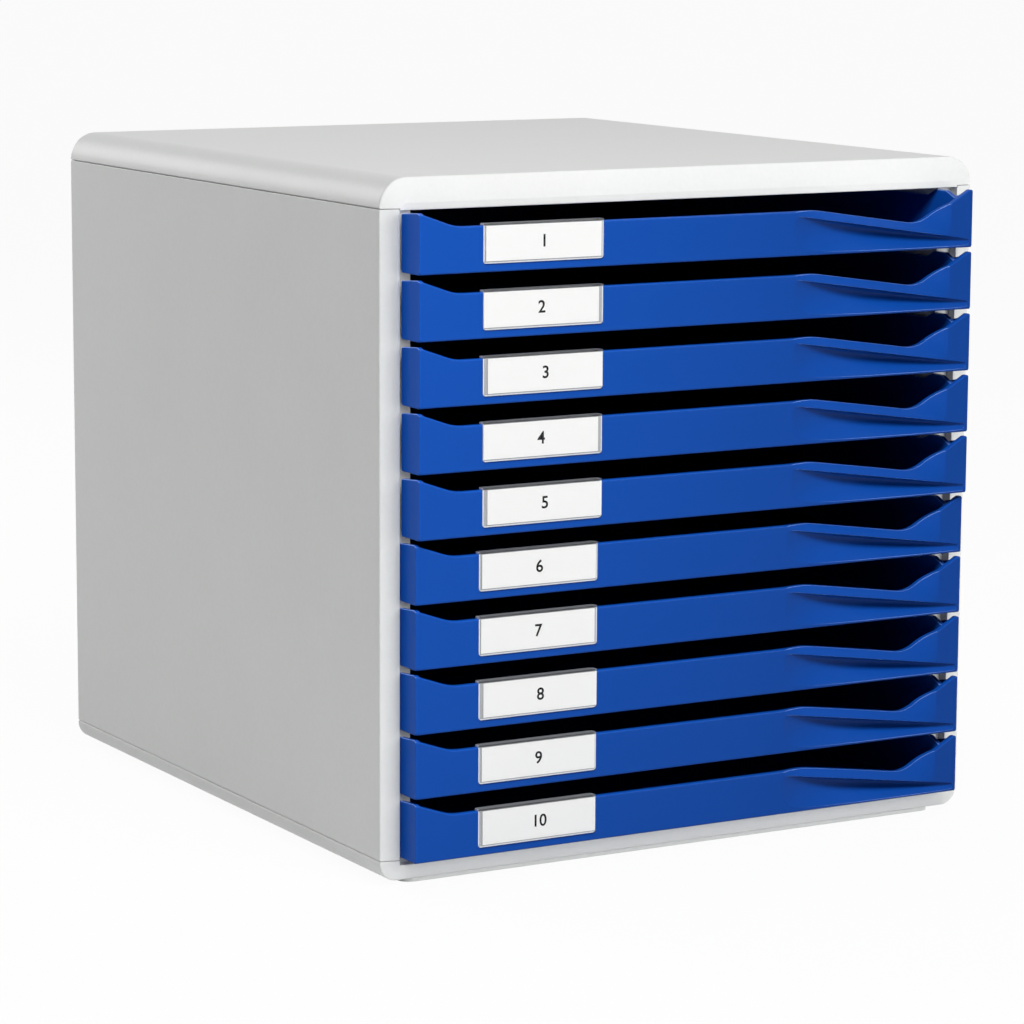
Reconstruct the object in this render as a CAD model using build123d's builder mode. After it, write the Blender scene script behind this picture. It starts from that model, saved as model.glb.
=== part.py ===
from build123d import *
from math import radians, sin
import os

os.makedirs("parts", exist_ok=True)

# Desk-top unit with ten drawers, in millimetres. X runs across, -Y is the front, Z is up.
# The origin is the middle of the whole unit on the surface that it stands on.

# Driving dimensions of the unit
width = 291.0
height = 291.4
depth = 326.0
drawer_count = 10
drawer_pitch = 26.8
lowest_front = 12.0
upper_pull = 2.7
travel = 240.0

# Drawer fronts, from their front plane and their bottom edge
front_width = 271.0
front_height = 24.6
front_wall = 2.4
return_depth = 15.4
return_wall = 1.8

# Label windows, which stand furthest forward
window_width = 56.0
window_left = -106.7
window_low = 3.5
window_high = 19.6
window_proud = 1.3

back_y = depth / 2
upper_front_y = -depth / 2 + window_proud
lower_front_y = upper_front_y + upper_pull

# Housing shell, with a bezel whose border slopes back from its inner crease
shell_wall = 2.5
foot_height = 2.5
top_radius = 12.5
bottom_radius = 8.0
crease_top_radius = 5.0
crease_bottom_radius = 2.0
slope_corner_growth = 3.0
bezel_y = lower_front_y + 11.1
bezel_slope = 2.0
side_border = 7.2
top_border = 10.4
bottom_border = 6.1
rebate_half = 137.0
rebate_y = lower_front_y + return_depth + 0.2
opening_half = 130.0
opening_low = 9.2
opening_high = 278.1
cavity_y = rebate_y + 2.2
rear_frame = 7.0
rear_lip = 2.0

# Seams between the base, the side panels and the top cover
seam_low = 11.2
seam_high = height - top_radius
seam_gap = 0.25
seam_groove = 0.5
outer_edge = 0.8
opening_edge = 0.3
shell_middle_z = (height + foot_height) / 2
shell_height = height - foot_height
cut = 400.0


# Housing shell, cut into its mouldings below
with BuildPart() as bevel:
    growth = 1 + bezel_slope
    spread = growth / bezel_slope
    with BuildSketch(Plane.XZ.offset(-back_y)):
        with Locations((0, shell_middle_z)):
            Rectangle(cut, cut)
    extrude(amount=back_y - bezel_y - growth)
    for y, reach in ((bezel_y + growth, 1 - spread), (bezel_y, 1)):
        with BuildSketch(Plane.XZ.offset(-y)) as border:
            low = foot_height + bottom_border * reach
            high = height - top_border * reach
            with Locations((0, (low + high) / 2)):
                Rectangle(width - 2 * side_border * reach, high - low)
            widening = slope_corner_growth * (y - bezel_y)
            fillet(border.vertices().group_by(Axis.Y)[-1], crease_top_radius + widening)
            fillet(border.vertices().group_by(Axis.Y)[0], crease_bottom_radius + widening)
    loft(ruled=True)

with BuildPart() as shell:
    with BuildSketch(Plane.XZ.offset(-back_y)) as outline:
        with Locations((0, shell_middle_z)):
            Rectangle(width, shell_height)
        fillet(outline.vertices().group_by(Axis.Y)[-1], top_radius)
        fillet(outline.vertices().group_by(Axis.Y)[0], bottom_radius)
    extrude(amount=back_y - bezel_y)
    add(bevel.part, mode=Mode.INTERSECT)
    fillet(shell.edges().filter_by_position(Axis.Y, bezel_y + 0.1, bezel_y + bezel_slope + 0.1), outer_edge)
    # Cavity behind the front wall
    with BuildSketch(Plane.XZ.offset(-back_y + rear_lip)) as cavity:
        with Locations((0, shell_middle_z)):
            Rectangle(width - 2 * shell_wall, shell_height - 2 * shell_wall)
        fillet(cavity.vertices().group_by(Axis.Y)[-1], top_radius - shell_wall)
        fillet(cavity.vertices().group_by(Axis.Y)[0], bottom_radius - shell_wall)
    extrude(amount=back_y - rear_lip - cavity_y, mode=Mode.SUBTRACT)
    # Opening for the back panel to show through
    with BuildSketch(Plane.XZ.offset(-back_y)) as rear_opening:
        with Locations((0, shell_middle_z)):
            RectangleRounded(width - 2 * rear_frame, shell_height - 2 * rear_frame, top_radius - rear_frame)
    extrude(amount=rear_lip, mode=Mode.SUBTRACT)
    # Drawer opening, and the rebate that the drawer fronts sink into
    opening_middle_z = (opening_low + opening_high) / 2
    with BuildSketch(Plane.XZ.offset(-cavity_y)):
        with Locations((0, opening_middle_z)):
            Rectangle(2 * opening_half, opening_high - opening_low)
    extrude(amount=cavity_y - bezel_y, mode=Mode.SUBTRACT)
    with BuildSketch(Plane.XZ.offset(-rebate_y)):
        with Locations((0, opening_middle_z)):
            Rectangle(2 * rebate_half, opening_high - opening_low)
    extrude(amount=rebate_y - bezel_y, mode=Mode.SUBTRACT)
    front_edges = shell.edges().filter_by_position(Axis.Y, bezel_y - 0.1, bezel_y + 0.1)
    front_edges = front_edges.filter_by_position(Axis.Z, opening_low, opening_high)
    fillet(front_edges.filter_by_position(Axis.X, -rebate_half, rebate_half), opening_edge)
    # Grooves along the seams
    with BuildSketch(Plane.XZ.offset(-back_y)):
        for side in (-1, 1):
            with Locations((side * width / 2, seam_low), (side * width / 2, seam_high)):
                Rectangle(seam_groove * 2**0.5, seam_groove * 2**0.5, rotation=45)
    extrude(amount=back_y - bezel_y, mode=Mode.SUBTRACT)

# The strip of the bezel between the opening and the upper seam, which belongs to the top cover
with BuildPart() as lip:
    add(shell.part)
    with BuildSketch(Plane.XY.offset(opening_high)):
        Rectangle(2 * rebate_half, cut)
    extrude(amount=seam_high - opening_high, mode=Mode.INTERSECT)


# Top cover
with BuildPart() as top_cover:
    add(shell.part)
    with BuildSketch(Plane.XY.offset(seam_high)):
        Rectangle(cut, cut)
    extrude(amount=cut, mode=Mode.INTERSECT)
    add(lip.part)
top_cover.part.label = "top_cover"
export_step(top_cover.part, "parts/top_cover.step")


# Base, with its plinth ring underneath
plinth_side_inset = 12.0
plinth_front_inset = 4.0
plinth_back_inset = 8.0
plinth_half = width / 2 - plinth_side_inset
plinth_front_y = bezel_y + plinth_front_inset
plinth_back_y = back_y - plinth_back_inset
plinth_radius = 6.0
plinth_wall = 3.0
plinth_low = 0.4
plinth_length = plinth_back_y - plinth_front_y
plinth_middle_y = (plinth_front_y + plinth_back_y) / 2
with BuildPart() as base:
    add(shell.part)
    with BuildSketch(Plane.XY.offset(seam_low)):
        Rectangle(cut, cut)
    extrude(amount=-cut, mode=Mode.INTERSECT)
    with BuildSketch(Plane.XY.offset(plinth_low)):
        with Locations((0, plinth_middle_y)):
            RectangleRounded(2 * plinth_half, plinth_length, plinth_radius)
            RectangleRounded(
                2 * (plinth_half - plinth_wall),
                plinth_length - 2 * plinth_wall,
                plinth_radius - plinth_wall,
                mode=Mode.SUBTRACT,
            )
    extrude(amount=foot_height - plinth_low)
base.part.label = "base"
export_step(base.part, "parts/base.step")


# Rubber feet, four pads inside the plinth ring
foot_radius = 7.0
foot_inset = 26.0
foot_chamfer = 0.5
with BuildPart() as rubber_feet:
    with BuildSketch():
        with Locations((0, plinth_middle_y)):
            with GridLocations(2 * (plinth_half - foot_inset), plinth_length - 2 * foot_inset, 2, 2):
                Circle(foot_radius)
    extrude(amount=foot_height)
    chamfer(rubber_feet.edges().group_by(Axis.Z)[0], foot_chamfer)
rubber_feet.part.label = "rubber_feet"
export_step(rubber_feet.part, "parts/rubber_feet.step")


# Left side panel: the wall between the seams, its post of the bezel, and tongues behind the top cover
tongue_wall = 1.4
tongue_gap = 0.2
tongue_step = 0.3
tongue_end_gap = 1.0
tongue_high = seam_high + 1.4
tongue_low = seam_high - 6.0
inner_face = width / 2 - shell_wall
with BuildPart() as left_side_panel:
    add(shell.part)
    panel_height = seam_high - seam_low - 2 * seam_gap
    with BuildSketch(Plane.XY.offset(seam_low + seam_gap)):
        with Locations((-cut / 2 - opening_half, 0)):
            Rectangle(cut, cut)
    extrude(amount=panel_height, mode=Mode.INTERSECT)
    with BuildSketch(Plane.XY.offset(opening_high - seam_gap)):
        with Locations((0, cavity_y - cut / 2)):
            Rectangle(2 * rebate_half + 2 * seam_gap, cut)
    extrude(amount=cut, mode=Mode.SUBTRACT)
    with BuildSketch(Plane.XZ.offset(-back_y + rear_lip)):
        with BuildLine():
            Polyline(
                (-inner_face, tongue_low),
                (-inner_face, seam_high - 2 * tongue_step),
                (-inner_face + tongue_gap, seam_high - tongue_step),
                (-inner_face + tongue_gap, tongue_high),
                (-inner_face + tongue_wall, tongue_high),
                (-inner_face + tongue_wall, tongue_low),
                close=True,
            )
        make_face()
    extrude(amount=back_y - rear_lip - cavity_y - tongue_end_gap)
left_side_panel.part.label = "left_side_panel"
export_step(left_side_panel.part, "parts/left_side_panel.step")

with BuildPart() as right_side_panel:
    mirror(left_side_panel.part, about=Plane.YZ)
right_side_panel.part.label = "right_side_panel"
export_step(right_side_panel.part, "parts/right_side_panel.step")


# Back panel, held inside the rear lip, with a raised field
panel_clearance = 0.2
panel_thick = 2.0
panel_y = back_y - rear_lip
panel_half = inner_face - tongue_wall - panel_clearance
field_margin = 18.0
field_rise = 1.2
field_radius = 10.0
field_taper = 30
with BuildPart() as back_panel:
    with BuildSketch(Plane.XZ.offset(-panel_y)):
        with Locations((0, shell_middle_z)):
            Rectangle(2 * panel_half, shell_height - 2 * shell_wall - 2 * panel_clearance)
    extrude(amount=panel_thick)
    fillet(back_panel.edges().filter_by(Axis.Y).group_by(Axis.Z)[-1], top_radius - shell_wall)
    fillet(back_panel.edges().filter_by(Axis.Y).group_by(Axis.Z)[0], bottom_radius - shell_wall)
    with BuildSketch(Plane.XZ.offset(-panel_y)):
        with Locations((0, shell_middle_z)):
            RectangleRounded(width - 2 * field_margin, shell_height - 2 * field_margin, field_radius)
    extrude(amount=-field_rise, taper=field_taper)
back_panel.part.label = "back_panel"
export_step(back_panel.part, "parts/back_panel.step")


# Left runner rack: an inner wall with one ledge under each drawer and one over the topmost
rack_wall = 2.0
rack_end_gap = 0.3
rack_front_y = cavity_y + rack_end_gap
rack_back_y = panel_y - panel_thick - 2 * rack_end_gap
rack_low = foot_height + shell_wall
rack_high = height - shell_wall
rib_count = 4
rib_spacing = 78.0
rib_margin = 16.0
ledge_reach = 4.0
ledge_thick = 1.2
ledge_clearance = 0.2
stop_y = cavity_y + 6.2
stop_length = 3.0
stop_drop = 1.5
stop_side_gap = 0.6
with BuildPart() as left_runner_rack:
    wall_length = rack_back_y - rack_front_y
    wall_middle_y = (rack_back_y + rack_front_y) / 2
    with BuildSketch(Plane.XY.offset(rack_low)):
        with Locations((-opening_half - rack_wall / 2, wall_middle_y)):
            Rectangle(rack_wall, wall_length)
    extrude(amount=rack_high - rack_low)
    # Upright ribs that hold the rack off the side panel
    with BuildSketch(Plane.XY.offset(rack_low + rib_margin)):
        with Locations((-(opening_half + inner_face) / 2 - rack_wall / 2, wall_middle_y)):
            with GridLocations(0, rib_spacing, 1, rib_count):
                Rectangle(inner_face - opening_half - rack_wall, rack_wall)
    extrude(amount=rack_high - rack_low - 2 * rib_margin)
    # Ledges, each with a stop under its front end
    for level in range(drawer_count + 1):
        ledge_top = lowest_front + level * drawer_pitch - ledge_clearance
        ledge_front_y = rebate_y + ledge_clearance if level < drawer_count else rack_front_y
        with BuildSketch(Plane.XY.offset(ledge_top)):
            with Locations((-opening_half + ledge_reach / 2, (ledge_front_y + rack_back_y) / 2)):
                Rectangle(ledge_reach, rack_back_y - ledge_front_y)
        extrude(amount=-ledge_thick)
        if level > 0:
            with BuildSketch(Plane.XY.offset(ledge_top - ledge_thick)):
                with Locations((-opening_half + ledge_reach / 2, stop_y + stop_length / 2)):
                    Rectangle(ledge_reach - 2 * stop_side_gap, stop_length)
            extrude(amount=-stop_drop)
left_runner_rack.part.label = "left_runner_rack"
export_step(left_runner_rack.part, "parts/left_runner_rack.step")

with BuildPart() as right_runner_rack:
    mirror(left_runner_rack.part, about=Plane.YZ)
right_runner_rack.part.label = "right_runner_rack"
export_step(right_runner_rack.part, "parts/right_runner_rack.step")


# Outline of a drawer front: high corners, a level rim, and a long dip over the grip at the right
front_half = front_width / 2
rim_height = 18.75
right_height = 24.8
dip_start = 54.8
dip_x = 109.1
dip_height = 10.8
cheek_x = 133.7
left_slope_x = -118.9
rim_radii = [1.0, 0.8, 22.0, 50.0, 18.0, 1.2, 0.8, 1.0]
front_edge = 0.6

# Upper edges of the returns at its ends, as depth and height, which meet the front's rounded edge
return_edge = 0.2
return_start = (0.8, front_height - 0.5)
left_return_top = [(2.0, front_height), (return_depth, front_height - 1.1)]
right_return_top = [(2.0, front_height - 0.3), (4.2, 22.9), (return_depth, 20.4)]

# Finger grip: a scoop under an overhanging lip, whose crease falls from left to right
grip_left = 43.0
grip_right = 133.5
crease_left = 17.1
crease_right = 3.7
crease_skin = 0.05
grip_depth = 6.2
scoop_upper = 1.6
scoop_lower = 0.6
grip_turn = radians(174)
grip_lead = 4.0
grip_stations = 10
scoop_low = 0.6
scoop_skin = 0.3
pad_right = 0.8
pad_top = 1.4
lip_right = 124.0
lip_slope = 0.9
lip_onset = 8
lip_fade = 6
lip_reach = 20.0
cutter_y = -12.0

# Tray behind the front, and the lugs on its walls that meet the stops at the end of the travel
tray_side_gap = 0.8
tray_back_gap = 2.8
tray_half = opening_half - tray_side_gap
tray_wall = 1.8
tray_floor = 1.8
tray_height = 21.5
tray_back = panel_y - panel_thick - tray_back_gap - lower_front_y
tray_radius = 8.0
stop_clearance = 0.4
gusset_top = [(2.0, 20.0), (2.4, 21.4), (9.0, 24.1), (16.0, 24.1), (22.0, 21.5), (22.0, 20.0)]
lug_length = 6.0
lug_gap = 0.6
lug_y = stop_y + stop_length + travel + stop_clearance - lower_front_y
lug_high = drawer_pitch - ledge_clearance - ledge_thick - lug_gap


def crease_height(x):
    return crease_left + (crease_right - crease_left) * (x - grip_left) / (grip_right - grip_left)


def scoop_depth(x):
    """Depth of the scoop, which grows from nothing at its left end and is shallow again at its right end."""
    return grip_depth * sin(grip_turn * (x - grip_left) / (grip_right - grip_left))


def lean(x):
    """Slope of the lip's face, which sets in quickly at the left and fades slowly to the right."""
    along = (x - grip_left) / (lip_right - grip_left)
    return lip_slope * (1 - (1 - along) ** lip_onset) * (1 - along**lip_fade)


def stations(left, right):
    return [left + (right - left) * step / (grip_stations - 1) for step in range(grip_stations)]


# Outline of a drawer front, with the origin midway along its bottom edge
with BuildSketch(Plane.XZ) as front_outline:
    with BuildLine():
        FilletPolyline(
            (-front_half, 0),
            (-front_half, front_height),
            (left_slope_x, rim_height),
            (dip_start, rim_height),
            (dip_x, dip_height),
            (cheek_x, right_height),
            (front_half, right_height),
            (front_half, 0),
            radius=rim_radii,
            close=True,
        )
    make_face()

# Backing of the lip, which keeps the front's thickness where the lip leans back
with BuildPart() as lip_backing:
    for x in stations(grip_left, lip_right):
        with BuildSketch(Plane.YZ.offset(x)):
            with BuildLine():
                top = crease_height(x) + lip_reach
                Polyline(
                    (front_wall / 2, crease_height(x)),
                    (front_wall, crease_height(x)),
                    (front_wall + lean(x) * lip_reach, top),
                    (front_wall / 2, top),
                    close=True,
                )
            make_face()
    loft()
    extrude(to_extrude=front_outline.sketch, amount=-return_depth, mode=Mode.INTERSECT)


# One drawer, with the origin in its front plane, midway along its bottom edge
with BuildPart() as drawer:
    extrude(to_extrude=front_outline.sketch, amount=-front_wall)
    # Returns at both ends, the right one lower towards the back
    with BuildSketch(Plane.YZ.offset(-front_half)):
        with BuildLine():
            FilletPolyline(
                (return_start[0], 0),
                return_start,
                *left_return_top,
                (return_depth, 0),
                radius=[0, 0, 0, 1.0, 1.0],
                close=True,
            )
        make_face()
    extrude(amount=return_wall)
    with BuildSketch(Plane.YZ.offset(front_half - return_wall)):
        with BuildLine():
            FilletPolyline(
                (return_start[0], 0),
                return_start,
                *right_return_top,
                (return_depth, 0),
                radius=[0, 0, 0, 1.0, 1.0, 1.0],
                close=True,
            )
        make_face()
    extrude(amount=return_wall)
    fillet(drawer.faces().sort_by(Axis.Y)[0].outer_wire().edges(), front_edge)
    # Floor, from the front wall to the back and out to both returns
    with BuildSketch():
        with Locations((0, (front_wall + return_depth) / 2 - return_edge)):
            Rectangle(front_width - return_wall, return_depth - front_wall)
        with Locations((0, (front_wall + tray_back) / 2)):
            RectangleRounded(2 * tray_half, tray_back - front_wall, tray_radius)
    extrude(amount=tray_floor)
    # Side and back walls
    with BuildSketch() as walls:
        with Locations((0, tray_back / 2)):
            RectangleRounded(2 * tray_half, tray_back, tray_radius)
            RectangleRounded(
                2 * (tray_half - tray_wall),
                tray_back - 2 * tray_wall,
                tray_radius - tray_wall,
                mode=Mode.SUBTRACT,
            )
        with Locations((0, front_wall / 2 + tray_radius / 2)):
            Rectangle(cut, tray_radius + front_wall, mode=Mode.SUBTRACT)
        with Locations(
            (tray_half - tray_wall / 2, front_wall + tray_radius / 2),
            (-tray_half + tray_wall / 2, front_wall + tray_radius / 2),
        ):
            Rectangle(tray_wall, tray_radius)
    extrude(amount=tray_height)
    # Gusset between the right side wall and the high right end of the front
    with BuildSketch(Plane.YZ.offset(tray_half - tray_wall)):
        with BuildLine():
            Polyline(*gusset_top, close=True)
        make_face()
    extrude(amount=tray_wall)
    # Lugs on the side walls that meet the stops under the ledges
    with BuildSketch(Plane.XY.offset(tray_height)):
        with Locations((0, lug_y + lug_length / 2)):
            with GridLocations(2 * tray_half - tray_wall, 0, 2, 1):
                Rectangle(tray_wall, lug_length)
    extrude(amount=lug_high - tray_height)
    # Bulge inside the front wall that backs the scoop
    for x in stations(grip_left, grip_right + pad_right):
        with BuildSketch(Plane.YZ.offset(x)):
            with BuildLine():
                top = crease_height(x) + pad_top
                bulge = scoop_depth(x)
                inner = Bezier(
                    (front_wall, top),
                    (front_wall + scoop_upper * bulge, top),
                    (front_wall + scoop_lower * bulge, top / 2),
                    (front_wall + 0.1, 0),
                )
                Polyline(inner @ 1, (front_wall / 2, 0), (front_wall / 2, top), inner @ 0)
            make_face()
    loft()
    add(lip_backing.part)
    # Scoop under the lip
    for x in stations(grip_left - grip_lead, grip_right):
        with BuildSketch(Plane.YZ.offset(x)):
            with BuildLine():
                crease = crease_height(x)
                scoop = scoop_depth(x)
                scooped = Bezier(
                    (-scoop_skin, crease),
                    (scoop_upper * scoop, crease),
                    (scoop_lower * scoop, crease / 2),
                    (-scoop_skin, scoop_low),
                )
                Polyline(scooped @ 1, (cutter_y, scoop_low), (cutter_y, crease), scooped @ 0)
            make_face()
    loft(mode=Mode.SUBTRACT)
    # Face of the lip, which leans back towards its top edge
    for x in stations(grip_left - grip_lead, lip_right):
        with BuildSketch(Plane.YZ.offset(x)):
            with BuildLine():
                crease = crease_height(x)
                Polyline(
                    (-crease_skin, crease),
                    (lean(x) * lip_reach, crease + lip_reach),
                    (cutter_y, crease + lip_reach),
                    (cutter_y, crease),
                    close=True,
                )
            make_face()
    loft(mode=Mode.SUBTRACT)


# Label window: a clear sleeve, open at both ends, that hangs over the top edge of the front
window_face = 0.5
card_gap = 0.4
window_back = 0.3
window_border = 0.8
window_radius = 1.2
window_edge = 0.3
clip_gap = 0.1
clip_front = front_wall + clip_gap
clip_wall = 0.8
clip_reach = 6.0
clip_inset = 3.0
bridge_low = rim_height + clip_gap
window_middle_x = window_left + window_width / 2
with BuildPart() as window:
    with BuildSketch(Plane.XZ.offset(window_proud)) as window_outline:
        with Locations((window_middle_x, (window_low + window_high) / 2)):
            Rectangle(window_width, window_high - window_low)
        fillet(window_outline.vertices().group_by(Axis.Y)[0], window_radius)
    extrude(amount=-window_face - card_gap - window_back)
    fillet(window.faces().sort_by(Axis.Y)[0].outer_wire().edges(), window_edge)
    # Slot that the card slides through
    with BuildSketch(Plane.XZ.offset(window_proud - window_face)):
        with Locations((window_middle_x, (window_low + window_border + bridge_low) / 2)):
            Rectangle(cut, bridge_low - window_low - window_border)
    extrude(amount=-card_gap, mode=Mode.SUBTRACT)
    # Bridge over the top edge, and the clip behind it
    with BuildSketch(Plane.XY.offset(bridge_low)) as bridge:
        with Locations((window_middle_x, (clip_front + clip_wall - window_proud + window_face) / 2)):
            Rectangle(window_width, clip_front + clip_wall + window_proud - window_face)
        chamfer(bridge.vertices().group_by(Axis.Y)[-1], clip_wall)
    extrude(amount=window_high - bridge_low)
    with BuildSketch(Plane.XZ.offset(-clip_front)):
        with Locations((window_middle_x, (window_high + rim_height - clip_reach) / 2)):
            Rectangle(window_width - 2 * clip_inset, window_high - rim_height + clip_reach)
    extrude(amount=-clip_wall)

# Label card, a paper strip in the sleeve, which stands a little to one side in most of them
card_width = 53.9
card_thick = 0.25
card_clearance = 0.15
card_shifts = [0.0, -1.0, 1.0, -0.9, 1.0, 0.2, -0.2, 1.0, 0.3, 0.8]
card_low = window_low + window_border + card_clearance
card_high = bridge_low - card_clearance
with BuildPart() as card:
    with BuildSketch(Plane.XZ.offset(window_proud - window_face - (card_gap - card_thick) / 2)):
        with Locations((window_middle_x, (card_low + card_high) / 2)):
            Rectangle(card_width, card_high - card_low)
    extrude(amount=-card_thick)


# Ten drawers from the top down, the upper five standing a little further out
for number in range(1, drawer_count + 1):
    front_y = upper_front_y if number <= drawer_count // 2 else lower_front_y
    bottom_z = lowest_front + (drawer_count - number) * drawer_pitch
    with BuildPart() as placed_drawer:
        with Locations((0, front_y, bottom_z)):
            add(drawer.part)
    placed_drawer.part.label = f"drawer_{number}"
    export_step(placed_drawer.part, f"parts/drawer_{number}.step")
    with BuildPart() as placed_window:
        with Locations((0, front_y, bottom_z)):
            add(window.part)
    placed_window.part.label = f"label_window_{number}"
    export_step(placed_window.part, f"parts/label_window_{number}.step")
    with BuildPart() as placed_card:
        with Locations((card_shifts[number - 1], front_y, bottom_z)):
            add(card.part)
    placed_card.part.label = f"label_card_{number}"
    export_step(placed_card.part, f"parts/label_card_{number}.step")
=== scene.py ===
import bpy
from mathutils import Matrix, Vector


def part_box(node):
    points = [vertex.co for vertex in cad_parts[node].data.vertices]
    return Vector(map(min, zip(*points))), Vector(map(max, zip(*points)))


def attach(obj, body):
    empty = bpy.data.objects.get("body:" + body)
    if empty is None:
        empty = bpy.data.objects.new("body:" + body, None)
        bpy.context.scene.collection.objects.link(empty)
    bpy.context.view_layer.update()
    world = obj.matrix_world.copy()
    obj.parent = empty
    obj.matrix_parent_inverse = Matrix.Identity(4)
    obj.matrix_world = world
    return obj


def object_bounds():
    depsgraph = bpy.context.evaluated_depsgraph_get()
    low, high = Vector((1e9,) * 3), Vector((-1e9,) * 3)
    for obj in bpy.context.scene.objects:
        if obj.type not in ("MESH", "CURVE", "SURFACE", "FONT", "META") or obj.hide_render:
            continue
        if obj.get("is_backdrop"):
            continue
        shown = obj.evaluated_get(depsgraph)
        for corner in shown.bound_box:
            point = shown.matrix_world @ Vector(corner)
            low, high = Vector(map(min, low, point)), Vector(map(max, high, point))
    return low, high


bl_info = {
    "name": "Desk Drawer Unit",
    "version": (1, 0, 0),
    "blender": (4, 5, 0),
    "location": "View3D > Sidebar > Drawer Unit",
    "description": "Gives a desk-top drawer unit its finishes, label numbers and studio",
    "category": "Object",
}

from math import pi, radians

import bmesh
import bpy
from bpy.props import FloatProperty, FloatVectorProperty
from mathutils import Matrix, Vector

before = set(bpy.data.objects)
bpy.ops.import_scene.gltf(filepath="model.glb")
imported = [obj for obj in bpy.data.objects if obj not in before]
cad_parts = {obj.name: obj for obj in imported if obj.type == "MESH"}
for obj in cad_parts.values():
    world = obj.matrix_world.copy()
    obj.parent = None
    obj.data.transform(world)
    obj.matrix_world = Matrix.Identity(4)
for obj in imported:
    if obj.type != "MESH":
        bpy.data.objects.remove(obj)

# CAD nodes
DRAWERS = range(1, 11)
SHELL_NODES = ("top_cover", "base", "left_side_panel", "right_side_panel", "back_panel")
RACK_NODES = ("left_runner_rack", "right_runner_rack")

# Pattern of the plastics, with lengths in metres
CLOUD_SIZE = 0.045
CLOUD_SHARE = 0.6
GLOSS_CHANGE = 0.04
SPECK_TO_GRAIN = 3.0
PLASTIC_IOR = 1.5
RACK_DULLER = 0.08
BEVEL_SAMPLES = 6

# Painted highlights on upper rims: the upward lean of a rounded edge where the paler colour starts, and
# how fast it grows
RIM_HIGHLIGHT_START = 0.1
RIM_HIGHLIGHT_GAIN = 3.5

# Label windows, with lengths in metres
WINDOW_SHEET = 0.0008
WINDOW_RIM = 0.0004
# The grey stands in for glare on the clear plastic, a painted reflection; the paler grey is a painted
# highlight on the outline
WINDOW_GLARE_GREY = (0.66, 0.67, 0.68)
WINDOW_RIM_HIGHLIGHT_GREY = (0.88, 0.90, 0.93)
FRONT_ALPHA = 0.03
BEHIND_ALPHA = 0.9

# Printed numbers: a digit's height as a share of the font's size, and the gap in metres that is closed
DIGIT_SHARE = 0.7
MERGE_GAP = 1e-6

# Floor and backdrop, with half the floor's side in metres
WHITE = (1.0, 1.0, 1.0, 1.0)
FLOOR_REACH = 12.0

# Lamps, with lengths in metres, and whether each lights the drawers alone or leaves them out
LAMPS = {
    "right": {"place": (0.75, -1.9, 0.55), "side": 0.8, "drawers": "EXCLUDE"},
    "left": {"place": (-0.45, -0.9, 0.6), "side": 0.4, "drawers": "EXCLUDE"},
    "front": {"place": (-0.1, -1.1, 1.6), "side": 0.8, "drawers": "EXCLUDE"},
    "drawer": {
        "place": (-0.5, -0.8, 1.0),
        "side": 0.4,
        "drawers": "INCLUDE",
        "spread": radians(66),
        "aim": (-0.04, 0.0, 0.18),
    },
    "top": {"place": (0.0, 0.1, 1.8), "side": 0.9},
    "rim": {"place": (-0.8, 1.4, 0.8), "side": 0.8},
}


# Shader nodes


class Link:
    """An output socket on which Python's operators add Math nodes."""

    def __init__(self, shader, socket):
        self.shader = shader
        self.socket = socket

    def maths(self, operation, *values):
        node = self.shader.node("Math", {"operation": operation}, *values)
        return self.shader.out(node)

    def __add__(self, other):
        return self.maths("ADD", self, other)

    def __radd__(self, other):
        return self.maths("ADD", other, self)

    def __sub__(self, other):
        return self.maths("SUBTRACT", self, other)

    def __rsub__(self, other):
        return self.maths("SUBTRACT", other, self)

    def __mul__(self, other):
        return self.maths("MULTIPLY", self, other)

    def __rmul__(self, other):
        return self.maths("MULTIPLY", other, self)

    def __gt__(self, other):
        return self.maths("GREATER_THAN", self, other)


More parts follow.
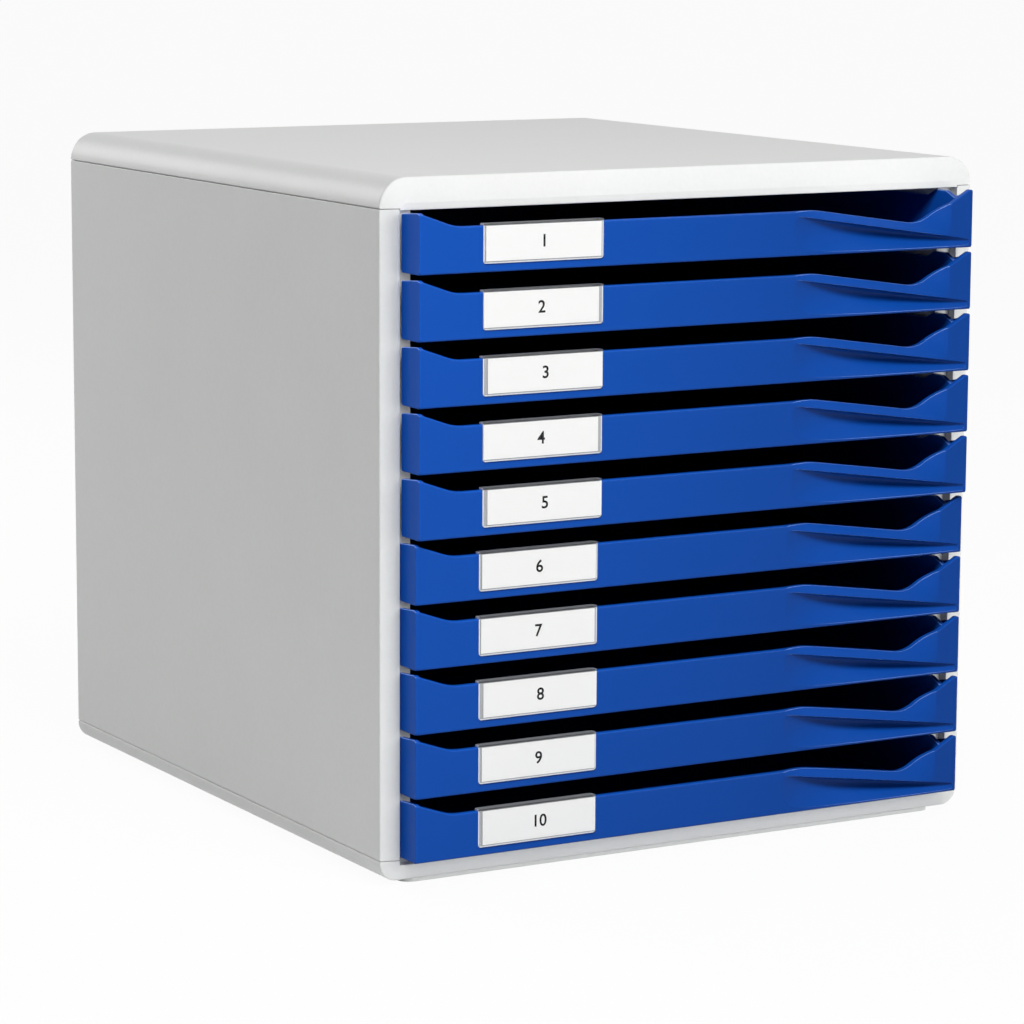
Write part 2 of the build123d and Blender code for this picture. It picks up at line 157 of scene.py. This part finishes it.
class Shader:
    """A material, or the world, whose nodes are all added by one method."""

    def __init__(self, owner):
        owner.use_nodes = True
        self.owner = owner
        self.tree = owner.node_tree
        self.tree.nodes.clear()

    def node(self, kind, settings=None, *values, **named):
        """Adds a node, makes its settings, then fills or links its sockets."""
        node = self.tree.nodes.new("ShaderNode" + kind)
        for setting, value in (settings or {}).items():
            setattr(node, setting, value)
        for key, value in [*enumerate(values), *named.items()]:
            socket = node.inputs[key.replace("_", " ") if isinstance(key, str) else key]
            if isinstance(value, Link):
                self.tree.links.new(value.socket, socket)
            elif value is not None:
                socket.default_value = value
        return node

    def out(self, node, name=0):
        return Link(self, node.outputs[name])

    def object_place(self):
        """Place on the object, in metres."""
        return self.out(self.node("TexCoord"), "Object")

    def noise(self, size, detail):
        """Noise from 0 to 1 whose features are about a size in metres."""
        texture = self.node(
            "TexNoise",
            {"noise_dimensions": "3D"},
            Vector=self.object_place(),
            Scale=1.0 / size,
            Detail=detail,
            Roughness=0.55,
        )
        return self.out(texture)

    def between(self, value, low, high):
        """Maps a value from 0 to 1 onto a range."""
        return value * (high - low) + low

    def blend(self, factor, first, second):
        """Blends two colours. The Mix node's first sockets take the factor, numbers and vectors."""
        numbers_and_vectors = (None,) * 5
        mix = self.node("Mix", {"data_type": "RGBA"}, factor, *numbers_and_vectors, first, second)
        colour_output = 2
        return self.out(mix, colour_output)

    def rounded_normal(self, radius):
        """Normals on edges that are rounded by a radius."""
        return self.out(self.node("Bevel", {"samples": BEVEL_SAMPLES}, Radius=radius))

    def bump(self, height, distance, edge):
        """Normals from a height, on edges that are rounded by a radius, or sharp where it is 0."""
        under = self.rounded_normal(edge) if edge else None
        bump = self.node("Bump", None, Height=height, Distance=distance, Strength=1.0, Normal=under)
        return self.out(bump)

    def upper_rim(self, radius):
        """1 along the upper edges of upright faces, within a radius of them, and 0 elsewhere: the mask of
        a painted highlight.
        """
        rounded = self.rounded_normal(radius)
        flat = self.out(self.node("NewGeometry"), "Normal")
        lift = (self.upward(rounded) - self.upward(flat) - RIM_HIGHLIGHT_START) * RIM_HIGHLIGHT_GAIN
        return lift.maths("MAXIMUM", lift.maths("MINIMUM", lift, 1.0), 0.0)

    def upward(self, direction):
        """How far a direction leans upwards."""
        return self.out(self.node("SeparateXYZ", None, Vector=direction), "Z")

    def seen(self):
        """1 for rays of the camera, of reflections and through windows, 0 for light's own rays."""
        path = self.node("LightPath")
        rays = [self.out(path, f"Is {kind} Ray") for kind in ("Camera", "Glossy", "Transmission")]
        total = rays[0] + rays[1] + rays[2]
        return total.maths("MINIMUM", total, 1.0)

    def surface(self, shader):
        """Ends the nodes in the output of a material or of the world."""
        kind = "OutputWorld" if isinstance(self.owner, bpy.types.World) else "OutputMaterial"
        self.node(kind, None, Surface=shader)


def linear(colour):
    """Linear RGBA of a colour written in sRGB."""
    values = (c / 12.92 if c <= 0.04045 else ((c + 0.055) / 1.055) ** 2.4 for c in colour)
    return (*values, 1.0)


def toned(colour, change):
    """A linear colour made paler, or darker where the change is below 0, by a share of itself."""
    values = (min(1.0, value * (1.0 + change)) for value in colour[:3])
    return (*values, 1.0)


def new_shader(name):
    return Shader(bpy.data.materials.new(name))


def finish_node(name, material):
    """Puts a material in a CAD node's slot."""
    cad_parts[name].material_slots[0].material = material


# Materials


def moulded_plastic(
    name,
    colour,
    roughness,
    grain_size,
    grain_depth,
    edge=0.0,
    mottle=0.06,
    specular=0.5,
    rim_colour=None,
):
    """Grain, faint clouds in colour and gloss, rounded edges and, where a highlight colour is given, a
    painted highlight on upper rims.
    """
    shader = new_shader(name)
    clouds = shader.noise(CLOUD_SIZE, detail=3.0)
    specks = shader.noise(grain_size * SPECK_TO_GRAIN, detail=1.0)
    tone = shader.between(clouds, 0.1, 0.9) * CLOUD_SHARE + specks * (1.0 - CLOUD_SHARE)
    grain = shader.noise(grain_size, detail=2.0)
    base = linear(colour)
    body = shader.blend(tone, toned(base, -mottle), toned(base, mottle))
    if rim_colour is not None:
        # Painted highlight: a paler colour along rounded edges that lean upwards
        body = shader.blend(shader.upper_rim(edge), body, linear(rim_colour))
    principled = shader.node(
        "BsdfPrincipled",
        None,
        Base_Color=body,
        Roughness=shader.between(clouds, roughness - GLOSS_CHANGE, roughness + GLOSS_CHANGE),
        Normal=shader.bump(grain, grain_depth, edge),
        IOR=PLASTIC_IOR,
        Specular_IOR_Level=specular,
    )
    shader.surface(shader.out(principled))
    return shader.owner


def housing_plastic(settings):
    """Satin light grey of the outer mouldings."""
    return moulded_plastic(
        "housing_plastic",
        settings.colour,
        settings.roughness,
        settings.grain,
        grain_depth=0.00002,
        edge=0.0004,
        specular=0.2,
    )


def rack_plastic(settings):
    """The housing's grey, duller and with sharper edges."""
    return moulded_plastic(
        "rack_plastic",
        settings.colour,
        settings.roughness + RACK_DULLER,
        settings.grain,
        grain_depth=0.00002,
        edge=0.0002,
        specular=0.2,
    )


def foot_rubber():
    """Dull black rubber."""
    return moulded_plastic(
        "foot_rubber",
        colour=(0.13, 0.13, 0.135),
        roughness=0.75,
        grain_size=0.0005,
        grain_depth=0.00004,
        edge=0.0003,
        mottle=0.12,
    )


def drawer_plastic(settings):
    """Royal blue with a painted highlight on the upper rims."""
    return moulded_plastic(
        "drawer_plastic",
        settings.colour,
        settings.roughness,
        settings.grain,
        grain_depth=0.00003,
        edge=0.0004,
        mottle=0.05,
        specular=0.09,
        rim_colour=settings.rim_colour,
    )


def window_plastic(number):
    """Clear in the front sheet, grey behind it and along the folds as a painted glare, and a painted
    highlight on its outline.
    """
    low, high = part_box(f"label_window_{number}")
    middle = (low + high) / 2
    shader = new_shader(f"window_plastic_{number}")
    place = shader.node("SeparateXYZ", None, Vector=shader.object_place())
    across = shader.out(place, "X") - middle.x
    up = shader.out(place, "Z")
    # Behind the front sheet the grey stands in for glare on the clear plastic: a painted reflection
    behind = shader.out(place, "Y") > low.y + WINDOW_SHEET
    # The outline band is a painted highlight
    at_side = across.maths("ABSOLUTE", across) > (high.x - low.x) / 2 - WINDOW_RIM
    at_foot = (low.z + WINDOW_RIM - up) > 0.0
    rim = at_side.maths("MAXIMUM", at_side, at_foot)
    principled = shader.node(
        "BsdfPrincipled",
        None,
        Base_Color=shader.blend(rim, linear(WINDOW_GLARE_GREY), linear(WINDOW_RIM_HIGHLIGHT_GREY)),
        Roughness=0.2,
        Alpha=shader.between(behind, FRONT_ALPHA, BEHIND_ALPHA),
        IOR=PLASTIC_IOR,
        Specular_IOR_Level=0.15,
    )
    shader.surface(shader.out(principled))
    return shader.owner


def card_paper(settings):
    """White matt card."""
    return moulded_plastic(
        "card_paper",
        settings.card_colour,
        roughness=0.8,
        grain_size=0.0003,
        grain_depth=0.00001,
        mottle=0.012,
    )


def number_ink():
    """Matt black print."""
    return moulded_plastic(
        "number_ink",
        colour=(0.02, 0.02, 0.02),
        roughness=0.8,
        grain_size=0.0002,
        grain_depth=0.000005,
        mottle=0.1,
        specular=0.05,
    )


def floor_paper(shade):
    """Pale paper that shows white to the camera, apart from a share of the shadows on it."""
    shader = new_shader("floor_paper")
    paper = shader.node("BsdfPrincipled", None, Base_Color=linear((0.96, 0.96, 0.96)), Roughness=0.9)
    glow = shader.node("Emission", None, Color=WHITE, Strength=1.0)
    whiteness = shader.seen() * (1.0 - shade)
    mix = shader.node("MixShader", None, whiteness, shader.out(paper), shader.out(glow))
    shader.surface(shader.out(mix))
    return shader.owner


# Sizes and colours that a user would change


def length(name, description, default):
    return FloatProperty(
        name=name,
        description=description,
        default=default,
        subtype="DISTANCE",
        unit="LENGTH",
    )


def share(name, description, default):
    return FloatProperty(name=name, description=description, default=default, subtype="FACTOR")


def angle(name, description, default):
    return FloatProperty(
        name=name,
        description=description,
        default=default,
        subtype="ANGLE",
        unit="ROTATION",
    )


def screen_colour(name, description, default):
    return FloatVectorProperty(
        name=name,
        description=f"{description}, in sRGB",
        default=default,
        subtype="COLOR_GAMMA",
        size=3,
    )


def lamp_power(name, where, default):
    return FloatProperty(
        name=name,
        description=f"Power of the lamp {where}",
        default=default,
        subtype="POWER",
        unit="POWER",
    )


class HousingSettings(bpy.types.PropertyGroup):
    colour: screen_colour("Colour", "Light grey of the housing", (0.86, 0.865, 0.86))
    roughness: share("Roughness", "Roughness of the satin plastic", 0.42)
    grain: length("Grain", "Size of the moulded grain", 0.0007)


class DrawerSettings(bpy.types.PropertyGroup):
    colour: screen_colour("Colour", "Royal blue of the drawers", (0.03, 0.225, 0.52))
    # The paler rim blue is a painted highlight on upward-leaning edges, not a colour of the plastic
    rim_colour: screen_colour("Rim colour", "Paler blue of the upper rims", (0.55, 0.66, 0.9))
    roughness: share("Roughness", "Roughness of the blue plastic", 0.36)
    grain: length("Grain", "Size of the moulded grain", 0.0006)


class LabelSettings(bpy.types.PropertyGroup):
    number_height: length("Number height", "Height of the printed numbers", 0.005)
    ink_thickness: length("Ink thickness", "How far the ink stands on the card", 0.00004)
    ink_spread: length("Ink spread", "How far the printed strokes are thickened", 0.00012)
    card_colour: screen_colour("Card", "White of the cards", (0.9, 0.9, 0.895))


class StudioSettings(bpy.types.PropertyGroup):
    camera_place: FloatVectorProperty(
        name="Camera",
        description="Where the camera stands",
        default=(-0.85705, -1.4977, 0.4062),
        subtype="TRANSLATION",
        unit="LENGTH",
        size=3,
    )
    heading: angle("Heading", "Turn of the camera from +Y towards +X", radians(29.772))
    pitch: angle("Pitch", "Tilt of the camera upwards", radians(-9.2756))
    roll: angle("Roll", "Roll of the camera", radians(0.2758))
    lens: FloatProperty(
        name="Lens",
        description="Focal length in millimetres",
        default=134.75,
        subtype="DISTANCE_CAMERA",
        unit="CAMERA",
    )
    right_power: lamp_power("Right lamp", "low at the right", 20.0)
    left_power: lamp_power("Left lamp", "near the left", 2.0)
    front_power: lamp_power("Front lamp", "high in front", 10.5)
    drawer_power: lamp_power("Drawer lamp", "for the drawers", 4.7)
    top_power: lamp_power("Top lamp", "overhead", 3.5)
    rim_power: lamp_power("Rim lamp", "behind at the left", 11.5)
    sky: share("Sky", "Strength of the even light from all round", 0.1)
    floor_shade: share("Floor shade", "How much of the unit's shadow the white floor shows", 0.05)


# Operators


def add_object(context, name, data):
    """Puts a new object in the scene."""
    added = bpy.data.objects.new(name, data)
    context.scene.collection.objects.link(added)
    return added


class DESKUNIT_OT_housing(bpy.types.Operator):
    """Give the housing's mouldings their light-grey plastic"""

    bl_idname = "deskunit.housing"
    bl_label = "Housing"

    def execute(self, context):
        settings = context.scene.housing_settings
        shell = housing_plastic(settings)
        rack = rack_plastic(settings)
        for node in SHELL_NODES:
            finish_node(node, shell)
        for node in RACK_NODES:
            finish_node(node, rack)
        return {"FINISHED"}


class DESKUNIT_OT_feet(bpy.types.Operator):
    """Give the feet their black rubber"""

    bl_idname = "deskunit.feet"
    bl_label = "Rubber Feet"

    def execute(self, context):
        finish_node("rubber_feet", foot_rubber())
        return {"FINISHED"}


class DESKUNIT_OT_drawers(bpy.types.Operator):
    """Give the drawers their blue plastic"""

    bl_idname = "deskunit.drawers"
    bl_label = "Drawers"

    def execute(self, context):
        blue = drawer_plastic(context.scene.drawer_settings)
        for number in DRAWERS:
            finish_node(f"drawer_{number}", blue)
        return {"FINISHED"}


class DESKUNIT_OT_windows(bpy.types.Operator):
    """Give the label windows their clear plastic"""

    bl_idname = "deskunit.windows"
    bl_label = "Label Windows"

    def execute(self, context):
        for number in DRAWERS:
            finish_node(f"label_window_{number}", window_plastic(number))
        return {"FINISHED"}


class DESKUNIT_OT_cards(bpy.types.Operator):
    """Give the label cards their paper and print a number on each"""

    bl_idname = "deskunit.cards"
    bl_label = "Label Cards"

    def execute(self, context):
        settings = context.scene.label_settings
        paper = card_paper(settings)
        ink = number_ink()
        for number in DRAWERS:
            finish_node(f"label_card_{number}", paper)
            self.print_number(context, settings, number, ink)
        return {"FINISHED"}

    def print_number(self, context, settings, number, ink):
        """Makes a number a thin mesh in the middle of its card's front face."""
        mesh = self.number_mesh(context, settings, number)
        low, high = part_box(f"label_card_{number}")
        middle = (low + high) / 2
        place = Matrix.Translation((middle.x, low.y - settings.ink_thickness / 2, middle.z))
        mesh.transform(place @ Matrix.Rotation(pi / 2, 4, "X"))
        self.close_seams(mesh)
        mesh.materials.append(ink)
        piece = add_object(context, f"label_number_{number}", mesh)
        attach(piece, f"drawer_{number}_body")

    def number_mesh(self, context, settings, number):
        """A mesh of a number that lies flat, with its middle at the origin."""
        text = bpy.data.curves.new(f"number_text_{number}", "FONT")
        text.body = str(number)
        text.align_x = "CENTER"
        text.align_y = "CENTER"
        text.size = settings.number_height / DIGIT_SHARE
        text.offset = settings.ink_spread
        text.extrude = settings.ink_thickness / 2
        source = add_object(context, f"number_text_{number}", text)
        context.view_layer.update()
        mesh = bpy.data.meshes.new_from_object(source)
        bpy.data.objects.remove(source)
        return mesh

    def close_seams(self, mesh):
        """Joins the faces of a mesh at their seams and turns them outwards."""
        bm = bmesh.new()
        bm.from_mesh(mesh)
        bmesh.ops.remove_doubles(bm, verts=bm.verts, dist=MERGE_GAP)
        bmesh.ops.recalc_face_normals(bm, faces=bm.faces)
        bm.to_mesh(mesh)
        bm.free()


class DESKUNIT_OT_studio(bpy.types.Operator):
    """Set the pale floor, the soft lamps and the camera"""

    bl_idname = "deskunit.studio"
    bl_label = "Studio"

    def execute(self, context):
        settings = context.scene.studio_settings
        self.add_floor(context, settings)
        self.add_sky(context, settings)
        for name, lamp in LAMPS.items():
            self.add_lamp(context, f"{name}_lamp", getattr(settings, f"{name}_power"), **lamp)
        self.add_camera(context, settings)
        context.scene.view_settings.view_transform = "Standard"
        return {"FINISHED"}

    def add_floor(self, context, settings):
        """A wide floor under the unit."""
        bm = bmesh.new()
        bmesh.ops.create_grid(bm, x_segments=1, y_segments=1, size=FLOOR_REACH)
        mesh = bpy.data.meshes.new("floor")
        bm.to_mesh(mesh)
        bm.free()
        mesh.materials.append(floor_paper(settings.floor_shade))
        floor = add_object(context, "floor", mesh)
        floor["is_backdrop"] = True

    def add_sky(self, context, settings):
        """Even light, and plain white where the camera sees past the floor."""
        world = bpy.data.worlds.new("studio_world")
        context.scene.world = world
        shader = Shader(world)
        brightness = shader.between(shader.seen(), settings.sky, 1.0)
        background = shader.node("Background", None, Color=WHITE, Strength=brightness)
        shader.surface(shader.out(background))

    def add_lamp(self, context, name, power, place, side, drawers=None, spread=pi, aim=None):
        """A square soft box that faces an aim, set from the unit's lowest corner, or the unit's middle."""
        light = bpy.data.lights.new(name, "AREA")
        light.energy = power
        light.size = side
        light.spread = spread
        lamp = add_object(context, name, light)
        lamp.location = place
        lamp.visible_camera = False
        low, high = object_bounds()
        target = low + Vector(aim) if aim else (low + high) / 2
        lamp.rotation_euler = (target - lamp.location).to_track_quat("-Z", "Y").to_euler()
        if drawers:
            self.light_drawers(lamp, drawers)

    def light_drawers(self, lamp, rule):
        """Makes a lamp light only the drawers, or all but the drawers."""
        receivers = bpy.data.collections.new(f"{lamp.name}_receivers")
        for number in DRAWERS:
            receivers.objects.link(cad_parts[f"drawer_{number}"])
        for receiver in receivers.collection_objects:
            receiver.light_linking.link_state = rule
        lamp.light_linking.receiver_collection = receivers

    def add_camera(self, context, settings):
        """A camera at the photo's viewing angle."""
        data = bpy.data.cameras.new("photo_camera")
        data.lens = settings.lens
        camera = add_object(context, "photo_camera", data)
        heading = Matrix.Rotation(-settings.heading, 4, "Z")
        pitch = Matrix.Rotation(pi / 2 + settings.pitch, 4, "X")
        roll = Matrix.Rotation(settings.roll, 4, "Z")
        camera.matrix_world = Matrix.Translation(settings.camera_place) @ heading @ pitch @ roll
        context.scene.camera = camera


OPERATORS = (
    DESKUNIT_OT_housing,
    DESKUNIT_OT_feet,
    DESKUNIT_OT_drawers,
    DESKUNIT_OT_windows,
    DESKUNIT_OT_cards,
    DESKUNIT_OT_studio,
)


class DESKUNIT_PT_panel(bpy.types.Panel):
    """Lists the steps that finish the drawer unit"""

    bl_idname = "DESKUNIT_PT_panel"
    bl_label = "Drawer Unit"
    bl_space_type = "VIEW_3D"
    bl_region_type = "UI"
    bl_category = "Drawer Unit"

    def draw(self, context):
        for operator in OPERATORS:
            self.layout.operator(operator.bl_idname)


SETTINGS = {
    "housing_settings": HousingSettings,
    "drawer_settings": DrawerSettings,
    "label_settings": LabelSettings,
    "studio_settings": StudioSettings,
}


def register():
    for name, group in SETTINGS.items():
        bpy.utils.register_class(group)
        setattr(bpy.types.Scene, name, bpy.props.PointerProperty(type=group))
    for cls in (*OPERATORS, DESKUNIT_PT_panel):
        bpy.utils.register_class(cls)


def unregister():
    for cls in (DESKUNIT_PT_panel, *reversed(OPERATORS)):
        bpy.utils.unregister_class(cls)
    for name, group in SETTINGS.items():
        delattr(bpy.types.Scene, name)
        bpy.utils.unregister_class(group)


def main():
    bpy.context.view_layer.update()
    register()
    bpy.ops.deskunit.housing()
    bpy.ops.deskunit.feet()
    bpy.ops.deskunit.drawers()
    bpy.ops.deskunit.windows()
    bpy.ops.deskunit.cards()
    bpy.ops.deskunit.studio()


if __name__ == "__main__":
    main()
